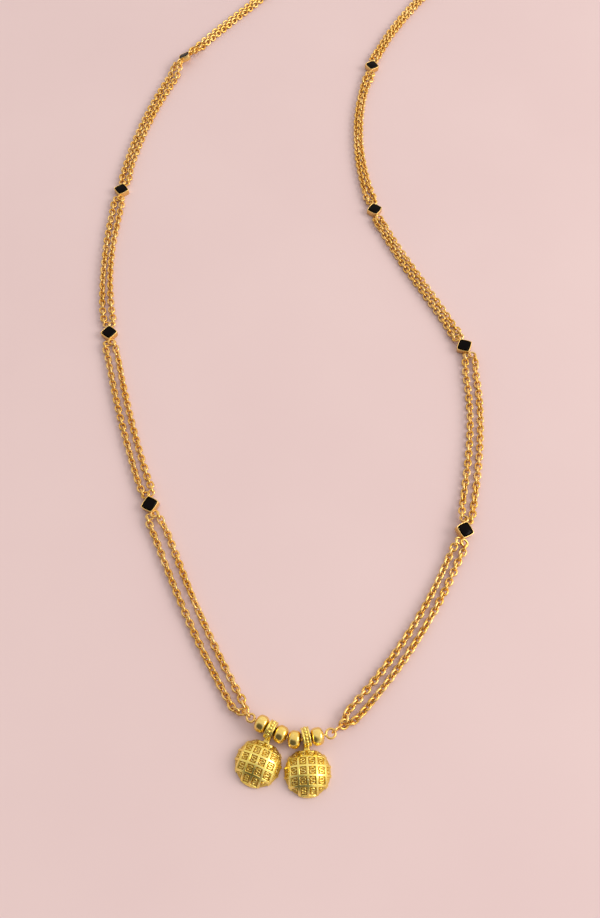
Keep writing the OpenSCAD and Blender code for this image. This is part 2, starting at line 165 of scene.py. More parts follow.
# %% Placing a piece
def turned(spin, slope=0, roll=0):
    spin, slope, roll = np.radians([spin, slope, roll])
    about_z = np.array([[math.cos(spin), -math.sin(spin), 0],
                        [math.sin(spin), math.cos(spin), 0], [0, 0, 1]])
    about_y = np.array([[math.cos(slope), 0, math.sin(slope)], [0, 1, 0],
                        [-math.sin(slope), 0, math.cos(slope)]])
    about_x = np.array([[1, 0, 0], [0, math.cos(roll), -math.sin(roll)],
                        [0, math.sin(roll), math.cos(roll)]])
    return about_z @ about_y @ about_x


UPRIGHT = turned(0, roll=90)      # stands a flat ring or link on its edge


def placed(part, rotation, place):
    points, faces = part
    return points @ rotation.T + place, faces


def joined(parts):
    points, faces, start = [], [], 0
    for part_points, part_faces in parts:
        points.append(part_points)
        faces.append(part_faces + start)
        start += len(part_points)
    return np.concatenate(points), np.concatenate(faces)


def make_piece(name, part, finish, nodes, values=None):
    """A smooth mesh that rides on the part. values are kept at its points for the finish."""
    points, faces = part
    mesh = bpy.data.meshes.new(name)
    mesh.from_pydata(points * MM, [], faces)
    mesh.shade_smooth()
    for label, numbers in (values or {}).items():
        mesh.attributes.new(label, "FLOAT", "POINT").data.foreach_set("value", numbers)
    mesh.materials.append(finish)
    piece = bpy.data.objects.new(name, mesh)
    bpy.context.collection.objects.link(piece)
    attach(piece, "root")
    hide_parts(*nodes)


print("UPRIGHT brings the Y axis to", (UPRIGHT @ [0, 1, 0]).round(2))


# %% [markdown]
# Colours are written as sRGB hex values, as a picture program shows them. Blender mixes light in
# linear values, so one function turns them. A second small function adds a node with its settings
# and its links in one line, which keeps each finish readable.

# %% Colour and node helpers
def linear(hex_colour):
    """An sRGB colour such as F2C864 as linear red, green, blue and alpha."""
    shares = [int(hex_colour[i:i + 2], 16) / 255 for i in (0, 2, 4)]
    return [s / 12.92 if s <= 0.04045 else ((s + 0.055) / 1.055) ** 2.4 for s in shares] + [1.0]


def add_node(tree, kind, links=None, values=None, **settings):
    node = tree.nodes.new(kind)
    for name, value in settings.items():
        setattr(node, name, value)
    for socket, value in (values or {}).items():
        node.inputs[socket].default_value = value
    for socket, output in (links or {}).items():
        tree.links.new(output, node.inputs[socket])
    return node


def new_material(name):
    """A named material with an empty node tree, its shader and its output."""
    material = bpy.data.materials.new(name)
    material.use_nodes = True
    tree = material.node_tree
    tree.nodes.clear()
    shader = add_node(tree, "ShaderNodeBsdfPrincipled")
    add_node(tree, "ShaderNodeOutputMaterial", {"Surface": shader.outputs["BSDF"]})
    return material, tree, shader


print("middle grey, 808080, as a linear value:", round(linear("808080")[0], 3))

# %% [markdown]
# The metal is brass with a thin bright gold plating, cast or drawn and then tumbled and polished.
# A metal has no colour of its own apart from its reflection, so its base colour is the tint of that
# reflection, metallic is 1 and the index of refraction stays as it is. The plating's tone drifts a
# little over some millimetres, and fine scratches from wear blur the reflection in streaks. Sunk
# places get a browner base colour, which is painted shade, and a duller finish.

# %% Gold plated brass
TONE_PATCH = 7.0          # mm across which the plating's tone drifts
SCRATCH_LONG = 1.6        # mm
SCRATCH_FINE = 0.09       # mm; real ones are finer, these are as coarse as they need to be to show
HAND_WAVE = 1.1           # mm between the soft waves that polishing leaves
WAVE_DEPTH = 0.03         # mm
SCRATCH_DEPTH = 0.004     # mm
SUNK_SHADE_SHARE = 0.7          # how much of the painted shade colour the deepest place takes
SCRATCH_HAZE = 0.12       # roughness that a scratch adds
SUNK_HAZE = 0.16          # and that a sunk place adds
METRE_IN_MM = 1000.0      # a noise's scale counts its patches in a metre
COLOUR_A, COLOUR_B, COLOUR_OUT = 6, 7, 2    # a Mix node's colour sockets, which share their names


def plated_brass(name, pale, rich, worn, sunk, roughness):
    """A plating that drifts from rich to pale, with worn scratches, and painted shade in sunk
    places.
    """
    material, tree, shader = new_material(name)
    place = add_node(tree, "ShaderNodeTexCoord").outputs["Object"]

    drift = add_node(tree, "ShaderNodeTexNoise", {"Vector": place},
                     {"Scale": METRE_IN_MM / TONE_PATCH, "Detail": 3.0}, noise_dimensions="3D")
    tone = add_node(tree, "ShaderNodeAttribute", attribute_name="tone")
    share = add_node(tree, "ShaderNodeMath", {0: drift.outputs["Fac"], 1: tone.outputs["Fac"]},
                     operation="ADD")
    ramp = add_node(tree, "ShaderNodeMapRange", {"Value": share.outputs[0]},
                    {"From Min": 0.35, "From Max": 1.05})
    gold = add_node(tree, "ShaderNodeMix", {"Factor": ramp.outputs[0]},
                    {COLOUR_A: linear(rich), COLOUR_B: linear(pale)}, data_type="RGBA")

    slender = SCRATCH_LONG / SCRATCH_FINE
    streak_space = add_node(tree, "ShaderNodeMapping", {"Vector": place},
                            {"Rotation": (0.3, 0.2, 0.7), "Scale": (1.0, slender, slender)})
    scratches = add_node(tree, "ShaderNodeTexNoise", {"Vector": streak_space.outputs[0]},
                         {"Scale": METRE_IN_MM / SCRATCH_LONG, "Detail": 2.0})
    streaks = add_node(tree, "ShaderNodeMapRange", {"Value": scratches.outputs["Fac"]},
                       {"From Min": 0.56, "From Max": 0.72})
    worn_gold = add_node(tree, "ShaderNodeMix",
                         {COLOUR_A: gold.outputs[COLOUR_OUT], "Factor": streaks.outputs[0]},
                         {COLOUR_B: linear(worn)}, data_type="RGBA")

    # Painted shade: the more sunk a place is, the more its colour is mixed towards the darker sunk
    # colour.
    recess = add_node(tree, "ShaderNodeAttribute", attribute_name="recess")
    depth = add_node(tree, "ShaderNodeMath", {0: recess.outputs["Fac"]}, {1: SUNK_SHADE_SHARE},
                     operation="MULTIPLY")
    skin = add_node(tree, "ShaderNodeMix",
                    {COLOUR_A: worn_gold.outputs[COLOUR_OUT], "Factor": depth.outputs[0]},
                    {COLOUR_B: linear(sunk)}, data_type="RGBA")
    tree.links.new(skin.outputs[COLOUR_OUT], shader.inputs["Base Color"])

    haze = add_node(tree, "ShaderNodeTexNoise", {"Vector": place},
                    {"Scale": METRE_IN_MM / HAND_WAVE, "Detail": 4.0})
    gloss = add_node(tree, "ShaderNodeMapRange", {"Value": haze.outputs["Fac"]},
                     {"From Min": 0.3, "From Max": 0.7,
                      "To Min": roughness[0], "To Max": roughness[1]})
    scratched = add_node(tree, "ShaderNodeMath", {0: streaks.outputs[0], 2: gloss.outputs[0]},
                         {1: SCRATCH_HAZE}, operation="MULTIPLY_ADD")
    dull = add_node(tree, "ShaderNodeMath", {0: recess.outputs["Fac"], 2: scratched.outputs[0]},
                    {1: SUNK_HAZE}, operation="MULTIPLY_ADD")
    tree.links.new(dull.outputs[0], shader.inputs["Roughness"])

    waves = add_node(tree, "ShaderNodeBump", {"Height": haze.outputs["Fac"]},
                     {"Strength": 0.5, "Distance": WAVE_DEPTH * MM})
    cuts = add_node(tree, "ShaderNodeBump",
                    {"Height": streaks.outputs[0], "Normal": waves.outputs[0]},
                    {"Strength": 0.3, "Distance": SCRATCH_DEPTH * MM}, invert=True)
    tree.links.new(cuts.outputs[0], shader.inputs["Normal"])
    shader.inputs["Metallic"].default_value = 1.0
    return material


# The fourth colour of each metal, for sunk places, is painted shade.
warm_gold = plated_brass(
    "Gold plated brass, warm", "F8D694", "E7B757", "F8DEA6", "B47C28", (0.22, 0.34))
lemon_gold = plated_brass(
    "Gold plated brass, lemon", "FFEE92", "F9DC60", "FFF5C4", "AE7200", (0.18, 0.29))
burnished_gold = plated_brass(
    "Gold plated brass, burnished", "FBE292", "EFC85C", "FCEFBE", "B0821F", (0.07, 0.15))
print("metals:", [metal.name for metal in (warm_gold, lemon_gold, burnished_gold)])

# %% [markdown]
# The black stones are moulded and fire polished glass. Glass reflects about four per cent of the
# light straight on and much more at a slant, which an index of 1.52 gives by itself. These stones
# look black through and through in the picture, so their specular level is turned down, as if the
# polish were old. Handling leaves a faint haze, so the roughness isn't quite even.

# %% Black glass
HAZE_PATCH = 0.9          # mm across a patch of handling haze
GLASS_IOR = 1.52
OLD_POLISH = 0.05         # specular level; 0.5 would be a fresh polish


def moulded_glass(name, body, haze_tint):
    material, tree, shader = new_material(name)
    place = add_node(tree, "ShaderNodeTexCoord").outputs["Object"]
    haze = add_node(tree, "ShaderNodeTexNoise", {"Vector": place},
                    {"Scale": METRE_IN_MM / HAZE_PATCH, "Detail": 5.0})
    tint = add_node(tree, "ShaderNodeMix", {"Factor": haze.outputs["Fac"]},
                    {COLOUR_A: linear(body), COLOUR_B: linear(haze_tint)}, data_type="RGBA")
    gloss = add_node(tree, "ShaderNodeMapRange", {"Value": haze.outputs["Fac"]},
                     {"From Min": 0.35, "From Max": 0.75, "To Min": 0.05, "To Max": 0.16})
    tree.links.new(tint.outputs[COLOUR_OUT], shader.inputs["Base Color"])
    tree.links.new(gloss.outputs[0], shader.inputs["Roughness"])
    shader.inputs["IOR"].default_value = GLASS_IOR
    shader.inputs["Specular IOR Level"].default_value = OLD_POLISH
    return material


black_glass = moulded_glass("Black glass, fire polished", "060302", "0C0705")
print("glass:", black_glass.name)

# %% [markdown]
# The plan of the necklace is the table of places that the part's source has: where each setting
# lies, the heading of the chains that come in and of those that leave, the setting's own spin and
# its roll to one side. Between two places the pair of chains follows a cubic curve, and each chain
# keeps its own distance to one side of it. These are the same lines as in the source, so the links
# lie where the tubes lie.

# %% The plan of the necklace, in millimetres and degrees
X, Y, COMES, LEAVES, SPIN, ROLL = range(6)
PLACES = {
    "left": np.array([
        [-17.0, -151.5, 121, 121, 121, 0], [-42.5, -98.0, 112, 110, 104, -9],
        [-58.8, -42.5, 102, 102, 96, 0], [-60.3, 13.6, 83, 85, 80, 0],
        [-43.5, 75.6, 66, 57, 52, -27], [-7.5, 123.0, 56, 56, 56, 0],
        [38.75, 169.5, 7, 7, 7, 0]]),
    "right": np.array([
        [8.5, -153.5, 46.5, 46.5, 46.5, 0], [39.7, -105.4, 68, 77, 75, 14],
        [44.6, -47.4, 100, 112, 115, -8], [20.6, 5.2, 107.5, 104, 102, 0],
        [22.2, 71.7, 72, 73, 79, 4], [51.0, 123.5, 58, 58, 58, 0],
        [48.75, 169.5, 174, 174, 174, 0]])}
SPREADS = {
    "left": [[1.5, 1.6, 1.7], [1.35, 1.35, 1.4], [1.3, 1.0, 1.2],
             [1.0, 1.0, 1.2], [0.85, 0.76, 0.76], [0.9, 1.0, 1.1]],
    "right": [[1.35, 1.3, 1.3], [1.5, 1.4, 1.45], [0.9, 1.0, 0.85],
              [0.95, 0.76, 0.76], [0.76, 0.76, 0.8], [0.95, 1.0, 1.1]]}
print("places on each side:", len(PLACES["left"]))

# %% Sizes that place the chains
END_SPREAD = 1.4          # mm from the pair's middle to each chain, at both ends of a stretch
SPREAD_AT = [0, 0.15, 0.5, 0.85, 1]    # shares of a stretch: its ends, and its spreads between
HANDLE_SHARE = 0.35       # length of a curve's handles as a share of its chord
SETTLE_LEN = 7            # mm over which a chain comes down to the table
SETTING_REACH = 3         # mm from a setting's middle to where its chains' curves begin
END_REACH = 0.4           # the same at both ends of a side
STRAND_R = 0.66           # mm, radius of the part's tubes
SETTINGS = range(1, 6)
CLASP_END = 6             # number of the last place of a side
STRETCHES = range(1, CLASP_END + 1)
BEZEL_HALF = 1.76
BEZEL_H = 1.8
CORNER_CUT = 0.07         # mm that a setting's corners are cut back
CORNER_R = BEZEL_HALF * math.sqrt(2) - CORNER_CUT
START_Z = {"left": 1.3, "right": 1.1}
END_RING_R = 1.3
END_RING_WIRE = 0.3
END_RING_TILT = 60
HOOK_Z = END_RING_R * math.sin(math.radians(END_RING_TILT)) + END_RING_WIRE
print("height of the hook's middle, mm:", round(HOOK_Z, 2))


# %% Curves of the chains
def smooth(t):
    u = np.clip(t, 0, 1)
    return u * u * (3 - 2 * u)


def along(heading):
    return np.array([math.cos(math.radians(heading)), math.sin(math.radians(heading))])


def place_height(side, i):
    if i == 0:
        return START_Z[side]
    if i == CLASP_END:
        return HOOK_Z
    roll = math.radians(abs(PLACES[side][i][ROLL]))
    return BEZEL_H / 2 * math.cos(roll) + CORNER_R * math.sin(roll)


def reach_at(i):
    return SETTING_REACH if i in SETTINGS else END_REACH


def shift_at(side, i, heading):
    row = PLACES[side][i]
    return reach_at(i) * (along(row[SPIN]) - along(row[heading]))


def handle_length(side, i):
    """Length of the two handles of a stretch's curve, longer where it turns more."""
    start, end = PLACES[side][i - 1], PLACES[side][i]
    chord = np.linalg.norm(end[:2] - start[:2])
    turn = math.radians(end[COMES] - start[LEAVES])
    return HANDLE_SHARE / math.cos(turn / 4) ** 2 * chord


def stretch(side, i):
    """The four control points of a stretch's curve."""
    start, end = PLACES[side][i - 1], PLACES[side][i]
    handle = handle_length(side, i)
    return np.array([start[:2], start[:2] + handle * along(start[LEAVES]),
                     end[:2] - handle * along(end[COMES]), end[:2]])


def chain_middle(side, i, hand, t):
    """Points along the middle of one chain, at shares t of its stretch. hand is 1 on the left."""
    c = stretch(side, i)
    t = np.asarray(t)[:, None]
    curve = ((1 - t) ** 3 * c[0] + 3 * (1 - t) ** 2 * t * c[1]
             + 3 * (1 - t) * t ** 2 * c[2] + t ** 3 * c[3])
    way = unit((1 - t) ** 2 * (c[1] - c[0]) + 2 * (1 - t) * t * (c[2] - c[1])
               + t ** 2 * (c[3] - c[2]))
    size = np.linalg.norm(c[3] - c[0])
    from_start = smooth(1 - (t * size - reach_at(i - 1)) / SETTLE_LEN)
    from_end = smooth(1 - ((1 - t) * size - reach_at(i)) / SETTLE_LEN)
    roll = np.radians(from_start * PLACES[side][i - 1][ROLL] + from_end * PLACES[side][i][ROLL])
    spread = np.interp(t, SPREAD_AT, [END_SPREAD, *SPREADS[side][i - 1], END_SPREAD])
    offset = hand * spread
    across = np.column_stack([-way[:, 1], way[:, 0]])
    flat = curve + from_start * shift_at(side, i - 1, LEAVES) - from_end * shift_at(side, i, COMES)
    flat = flat + offset * np.cos(roll) * across
    height = STRAND_R + offset * np.sin(roll)
    height = height + from_start * (place_height(side, i - 1) - STRAND_R)
    height = height + from_end * (place_height(side, i) - STRAND_R)
    return np.column_stack([flat, np.maximum(height, STRAND_R)]), spread[:, 0]


print("handles of the first left stretch, mm:", round(float(handle_length("left", 1)), 2))

# %% [markdown]
# The bent wire under the cups: two straight runs and a bend between them. A place on it is a
# distance from the middle of the bend, less than zero to the left.

# %% The bent wire's line
BEND = np.array([-4.35, -158.93])
BEND_R = 7.0
LEFT_RUN = -27.8
RIGHT_RUN = 12
WIRE_Z = 2.3
MIDDLE_HEADING = (LEFT_RUN + RIGHT_RUN) / 2
HALF_TURN = math.radians(RIGHT_RUN - LEFT_RUN) / 2
HALF_BEND = BEND_R * HALF_TURN
BEND_MIDDLE = BEND + BEND_R / math.cos(HALF_TURN) * along(MIDDLE_HEADING + 90)


def wire_heading(s):
    return min(max(MIDDLE_HEADING + math.degrees(s / BEND_R), LEFT_RUN), RIGHT_RUN)


def wire_point(s):
    heading = wire_heading(s)
    over = max(abs(s) - HALF_BEND, 0) * math.copysign(1, s)
    flat = BEND_MIDDLE + BEND_R * along(heading - 90) + over * along(heading)
    return np.array([*flat, WIRE_Z])


print("middle of the bend, mm:", wire_point(0).round(2))

# %% [markdown]
# At each end of the wire an eye holds an oval link, and that link holds the two chains. On the
# right a round ring gathers them instead. The chains' last links need to know what they hook
# into: the point where the link's end passes through, and the way its flat side faces.

# %% Where the chains hook in
JOINING_R = 0.225         # radius of the joining links' wire
CHAIN_R = 0.28            # of the chains' wire
EYE_WIRE = 0.3            # and of the eyes' wire
EYES = {"left": (-11.45, 0.92), "right": (8.6, 1.08)}    # place on the wire, and radius
LEFT_LINK = {"heading": 137, "slope": 36, "length": 2.9, "height": 2.0}
RIGHT_LINK = {"heading": 39.3, "height": 2.24}
LINK_GAP = 0.1
GATHER_AT = np.array([7.33, -154.71, 1.1])
GATHER_R = 1.1
GATHER_WIRE = 0.3
GATHER_GAP = 0.25
GATHER_TILT = 35
HOOK_AT = np.array([43.75, 169.5, HOOK_Z])
END_RING_OUT = 3.25       # mm from the hook's middle to each end ring's
OUTWARD = {"left": -1, "right": 1}
LUG_OUT = 0.4             # mm from a setting's corner to the middle of its ring
LUG_AT = CORNER_R + LUG_OUT
LUG_R = 0.7
LUG_WIRE = 0.16
STACK = 0.29              # mm from the middle of a ring to each of the two wires that share it

left_way = np.array([*along(LEFT_LINK["heading"]), 0])
eye_end = wire_point(EYES["left"][0]) + EYES["left"][1] * left_way
left_turn = turned(LEFT_LINK["heading"], LEFT_LINK["slope"])
left_hooked = LEFT_LINK["length"] / 2 - 2 * JOINING_R - EYE_WIRE - LINK_GAP
left_link_at = eye_end + left_turn @ [left_hooked, 0, 0]
gather_turn = turned(RIGHT_LINK["heading"], roll=GATHER_TILT)
end_ring_turn = turned(0, roll=END_RING_TILT)
end_ring_at = {side: HOOK_AT + [out * END_RING_OUT, 0, 0] for side, out in OUTWARD.items()}


def setting_pose(side, i):
    """How a setting is turned, and where its middle is."""
    row = PLACES[side][i]
    centre = np.array([row[X], row[Y], place_height(side, i)])
    return turned(row[SPIN], roll=row[ROLL]), centre


def hook_into(side, i, hand, leaving):
    """Point and flat side of the link that hooks into what is at a place."""
    if i in SETTINGS:
        rotation, centre = setting_pose(side, i)
        way = 1 if leaving else -1
        reach = LUG_AT + LUG_R - LUG_WIRE - CHAIN_R
        return centre + rotation @ [way * reach, 0, way * hand * STACK], rotation[:, 2]
    if i == CLASP_END:
        out = OUTWARD[side]
        reach = END_RING_R - END_RING_WIRE - CHAIN_R
        hooked = end_ring_turn @ [out * reach, -out * hand * STACK, 0]
        return end_ring_at[side] + hooked, end_ring_turn[:, 1]
    if side == "left":
        reach = LEFT_LINK["length"] / 2 - 2 * JOINING_R - CHAIN_R
        return left_link_at + left_turn @ [reach, 0, hand * STACK], left_turn[:, 2]
    reach = GATHER_R - GATHER_WIRE - CHAIN_R
    return GATHER_AT + gather_turn @ [reach, hand * STACK, 0], gather_turn[:, 1]


print("middle of the left joining link, mm:", left_link_at.round(2))

# %% [markdown]
# A cable chain is made of equal oval links, each through the next and a quarter turn from it. Its
# pitch is the inner length of a link, 1.5 mm here. A chain that lies on a table doesn't keep one
# turn all along: it rolls slowly one way and the other, and each link leans a little as it likes.
#
# An array modifier on a curve could repeat two links, but it stretches them at bends. So the links
# are walked along the line instead: each joint is one pitch in a straight line from the last, as
# in a real chain, and the pitch is closed up by a hair until the last link ends in its hook.

# %% Walk the joints along a chain
LINK_LONG = 2.63
LINK_WIDE = 2.12
LINK_PLAY = 0.015         # mm that a pulled joint still has to give
LONGEST_PITCH = LINK_LONG - 4 * CHAIN_R - LINK_PLAY
SHORTEST_PITCH = 1.3
HALVINGS = 24             # each halves what is left between the shortest and the longest pitch


def walk(path, pitch, most=200):
    """Joints one straight pitch apart along a path, until the path ends."""
    joints, at = [path[0]], 0
    while len(joints) < most:
        gaps = np.linalg.norm(path[at:] - joints[-1], axis=1)
        step = int(np.argmax(gaps >= pitch))
        if gaps[step] < pitch:
            break
        at += step
        before, after = path[at - 1], path[at]
        near, far = gaps[step - 1], gaps[step]
        joints.append(before + (after - before) * (pitch - near) / (far - near))
    return np.array(joints)


def joints_between(path):
    """Joints from one end of the path to the other, with an equal pitch that comes out even."""
    count = len(walk(path, LONGEST_PITCH))
    low, high = SHORTEST_PITCH, LONGEST_PITCH
    for _ in range(HALVINGS):
        pitch = (low + high) / 2
        joints = walk(path, pitch)
        short = len(joints) > count
        if short or (len(joints) == count and np.linalg.norm(path[-1] - joints[-1]) > pitch):
            low = pitch
        else:
            high = pitch
    joints = walk(path, high)[:count]
    return np.vstack([joints, path[-1]]), high


print("longest pitch, mm:", round(LONGEST_PITCH, 3))

# %% [markdown]
# Each link then gets its own lean. Where the two chains lie apart, every second link lies nearly
# flat and the ones between stand on edge. Where they lie against each other there is no room for
# that: all links stand at about 45 degrees and lean against their neighbours, and the eye sees a
# braid.

# %% Turn each link
FLAT_ROLL = 26            # degrees that every second link lies rolled in a chain that lies alone
HALF_ROLLED = 45          # and in one that lies against its neighbour
TOUCHING = 0.9            # mm from the pair's middle at which the two chains lie close
TO_ALONE = 0.35           # and how much farther out each lies alone
FREE_WAVE = 15            # degrees that a chain lying alone rolls to each side
TIGHT_WAVE = 7            # and one that lies close
WAVES = ((1, 2.9), (1, 5.3), (0.6, 9.7))    # each slow wave's share, and its links per radian
LINK_LEAN = 4             # degrees that a single link leans by itself
LINK_TONE = 0.25          # how far a single link's tone may be from the chain's
SETTLE_LINKS = 5          # links over which the roll at an end dies away
JOINT_GIVE = 0.02         # mm that a joint may lie lower than its two links would have it
LINE_POINTS = 900
LINE_STEP = 0.03          # mm between the points that the joints are walked along
link_points, link_faces = oval(LINK_LONG, LINK_WIDE, CHAIN_R, steps=12, sides=10)


def rise(roll):
    """Height of a rolled link's middle when it lies on the table."""
    return (LINK_WIDE / 2 - CHAIN_R) * np.abs(np.sin(np.radians(roll))) + CHAIN_R


def link_frames(joints):
    """Each link's way, and its up and its side before it is rolled."""
    ways = unit(np.diff(joints, axis=0))
    ups = unit(np.array([0, 0, 1]) - ways * ways[:, 2:])
    return ways, ups, np.cross(ups, ways)


def chain_line(side, i, hand):
    """A chain's whole line from hook to hook, its spreads, and the sides of its two hooks."""
    shares = np.linspace(0, 1, LINE_POINTS)
    handle = handle_length(side, i)
    first = reach_at(i - 1) / (3 * handle)
    last = 1 - reach_at(i) / (3 * handle)
    middle, spread = chain_middle(side, i, hand, first + (last - first) * shares)
    start, start_faces = hook_into(side, i - 1, hand, True)
    end, end_faces = hook_into(side, i, hand, False)
    corners = np.vstack([start, middle, end])
    lengths = np.concatenate([[0], np.cumsum(np.linalg.norm(np.diff(corners, axis=0), axis=1))])
    even = np.arange(0, lengths[-1], LINE_STEP)
    path = np.column_stack([np.interp(even, lengths, corners[:, axis]) for axis in range(3)])
    return np.vstack([path, end]), spread, start_faces, end_faces


def chain_piece(side, i, hand, draw):
    path, spread, start_faces, end_faces = chain_line(side, i, hand)
    joints, pitch = joints_between(path)
    count = len(joints) - 1

    number = np.arange(count)
    room = np.interp(number, np.linspace(0, count - 1, len(spread)), spread)
    alone = np.clip((room - TOUCHING) / TO_ALONE, 0, 1)
    free = TIGHT_WAVE + (FREE_WAVE - TIGHT_WAVE) * alone
    lying = OUTWARD[side] * (HALF_ROLLED + (FLAT_ROLL - HALF_ROLLED) * alone)
    starts = draw.uniform(0, 2 * math.pi, len(WAVES))
    slow = sum(share * np.sin(number / long + start) for (share, long), start in zip(WAVES, starts))
    roll = lying + free * slow / 2 + draw.normal(0, LINK_LEAN, count)

    _, ups, sides_of_link = link_frames(joints)
    quarter = 90 * (number % 2)
    at_start = math.degrees(math.atan2(start_faces @ sides_of_link[0], start_faces @ ups[0]))
    at_end = math.degrees(math.atan2(end_faces @ sides_of_link[-1], end_faces @ ups[-1]))
    at_end -= quarter[-1]
    at_start += 180 * round((roll[0] - at_start) / 180)
    at_end += 180 * round((roll[-1] - at_end) / 180)
    near_start = smooth(1 - number / SETTLE_LINKS)
    near_end = smooth(1 - (count - 1 - number) / SETTLE_LINKS)
    roll = roll + near_start * (at_start - roll)
    roll = roll + near_end * (at_end - roll) + quarter

    needed = rise(roll)
    between = (needed[:-1] + needed[1:]) / 2 - JOINT_GIVE
    joints[1:-1, 2] = np.maximum(joints[1:-1, 2], between)
    middles = (joints[:-1] + joints[1:]) / 2
    middles[:, 2] = np.maximum(middles[:, 2], needed)
    ways, ups, sides_of_link = link_frames(joints)
    angle = np.radians(roll)[:, None]
    faces_of_link = np.cos(angle) * ups + np.sin(angle) * sides_of_link
    rotations = np.stack([ways, np.cross(faces_of_link, ways), faces_of_link], -1)
    points = np.einsum("nij,pj->npi", rotations, link_points) + middles[:, None]
    faces = link_faces[None] + (np.arange(count) * len(link_points))[:, None, None]
    tone = np.repeat(draw.uniform(-LINK_TONE, LINK_TONE, count), len(link_points))
    which = f"{side}_{i}" + ("a" if hand > 0 else "b")
    chain = points.reshape(-1, 3), faces.reshape(-1, 4)
    make_piece(f"chain_{which}", chain, warm_gold, [f"strand_{which}"], {"tone": tone})
    return count, pitch


print("middle of a link on its edge, mm above the table:", rise(90).round(2))

# %% All the chains
draw = np.random.default_rng(20)
link_count = 0
for side in PLACES:
    for i in STRETCHES:
        for hand in (1, -1):
            count, pitch = chain_piece(side, i, hand, draw)
            link_count += count
        print(side, i, "links:", count, "pitch:", round(pitch, 3))
print("links in all:", link_count)

# %% [markdown]
# A setting, or bezel, is a small box of sheet metal, square with bulged sides, with its corners
# along the chain. Its rim is pressed over the stone's edge and burnished round. A ring of wire is
# soldered on at each end, upright, for the chains. The outline comes from four shallow arcs, and
# the corners are eased with a soft minimum, because a burnished corner is never quite sharp.

# %% Outline of a setting
BULGE = 0.15              # mm that each side swells out
OUTLINE_STEPS = 96
CORNER_EASE = 0.05        # mm over which a corner is rounded
GIVEN_BACK = 0.25         # share of the easing that is given back, as it draws in all of the edge


def cushion_radius(half, angle):
    """Distance from the middle to the edge of a square with bulged sides and corners on X and Y."""
    side_r = (half * half + BULGE * BULGE) / (2 * BULGE)
    centre = half + BULGE - side_r
    turn = (angle + math.pi / 4) % (math.pi / 2) - math.pi / 4
    turn = np.where(turn > 0, turn - math.pi / 4, turn + math.pi / 4)
    return centre * np.cos(turn) + np.sqrt(side_r ** 2 - (centre * np.sin(turn)) ** 2)


def cushion(half, z, corner=CORNER_CUT, ease=CORNER_EASE):
    """Outline of a square with bulged sides, its corners cut back by corner and eased."""
    angle = np.arange(OUTLINE_STEPS) * 2 * math.pi / OUTLINE_STEPS
    full = cushion_radius(half, angle)
    cut = half * math.sqrt(2) - corner
    radius = -ease * np.log(np.exp(-full / ease) + np.exp(-cut / ease)) + ease * GIVEN_BACK
    return np.column_stack([radius * np.cos(angle), radius * np.sin(angle), np.full_like(angle, z)])


corner_and_side = cushion_radius(BEZEL_HALF, np.array([0, math.pi / 4]))
print("from a setting's middle to a corner and a side, mm:", corner_and_side.round(2))

# %% Settings
WALL = 0.14
RIM_WIDE = 0.2
RIM_THICK = 0.2
BACK = 0.5                # mm of metal under the stone
EASE = 0.1                # mm, the round of the outer edges
LIP = 0.02                # mm, the step in which the rim turns down to the stone

rim_round = [(BEZEL_HALF - EASE * (1 - math.cos(a)), BEZEL_H - EASE * (1 - math.sin(a)))
             for a in np.radians([0, 20, 40, 60, 80])]
inner_rim = BEZEL_HALF - RIM_WIDE
setting_profile = (
    [(BEZEL_HALF - EASE, 0), (BEZEL_HALF - EASE / 3, EASE / 4), (BEZEL_HALF, EASE)]
    + rim_round
    + [(inner_rim + 3 * LIP, BEZEL_H), (inner_rim + LIP, BEZEL_H - 1.5 * LIP),
       (inner_rim, BEZEL_H - 4 * LIP), (inner_rim, BEZEL_H - RIM_THICK),
       (BEZEL_HALF - WALL, BEZEL_H - RIM_THICK - 2 * LIP), (BEZEL_HALF - WALL, BACK)])
setting_box = loft([cushion(half, z) for half, z in setting_profile])
lug_rings = [placed(ring(LUG_R, LUG_WIRE, 36, 12), UPRIGHT, [end * LUG_AT, 0, BEZEL_H / 2])
             for end in (-1, 1)]
setting = joined([setting_box, *lug_rings])
print("setting, mm across:", np.ptp(setting[0], axis=0).round(2))

# %% [markdown]
# The stone fills the setting: a blunt point below, a belt under the rim, a sloping crown and a flat
# table that stands just proud of the metal. Pressed glass has crisp but not knife-sharp edges, so
# the table's edge and the belt get a narrow extra outline each.

# %% Stones
SETTING_TONES = (-0.1, 0.3)
STONE_HALF = 1.55
POINT_HALF = 0.93         # half width of the blunt point
POINT_Z = BACK + 0.1
BELT_LOW, BELT_TOP = 1.32, 1.46
TABLE_HALF = 1.2
TABLE_Z = 1.84
STONE_CUT = 0.05          # mm that a stone's corners are cut back
STONE_EASE = 0.03         # mm over which they are rounded
stone_profile = [(POINT_HALF, POINT_Z), (POINT_HALF + 0.03, POINT_Z + 0.02),
                 (STONE_HALF - 0.01, BELT_LOW - 0.03), (STONE_HALF, BELT_LOW),
                 (STONE_HALF, BELT_TOP), (STONE_HALF - 0.02, BELT_TOP + 0.04),
                 (TABLE_HALF + 0.03, TABLE_Z - 0.03), (TABLE_HALF + 0.01, TABLE_Z - 0.008),
                 (TABLE_HALF - 0.02, TABLE_Z)]
stone = loft([cushion(half, z, STONE_CUT, STONE_EASE) for half, z in stone_profile])


def seat(part, side, i):
    """Brings a piece drawn flat at the origin to a setting's place."""
    rotation, centre = setting_pose(side, i)
    return placed(part, rotation, centre - rotation @ [0, 0, BEZEL_H / 2])


for side in PLACES:
    for i in SETTINGS:
        tone = np.full(len(setting[0]), draw.uniform(*SETTING_TONES))
        make_piece(f"setting_{side}_{i}", seat(setting, side, i), warm_gold,
                   [f"bezel_{side}_{i}"], {"tone": tone})
        make_piece(f"glass_{side}_{i}", seat(stone, side, i), black_glass,
                   [f"stone_{side}_{i}"])
print("stone, mm across:", np.ptp(stone[0], axis=0).round(2))

# %% [markdown]
# The bent wire is one piece with its two eyes: a round wire whose ends are curled into loops and
# soldered shut. Near each eye it is drawn a little thinner.

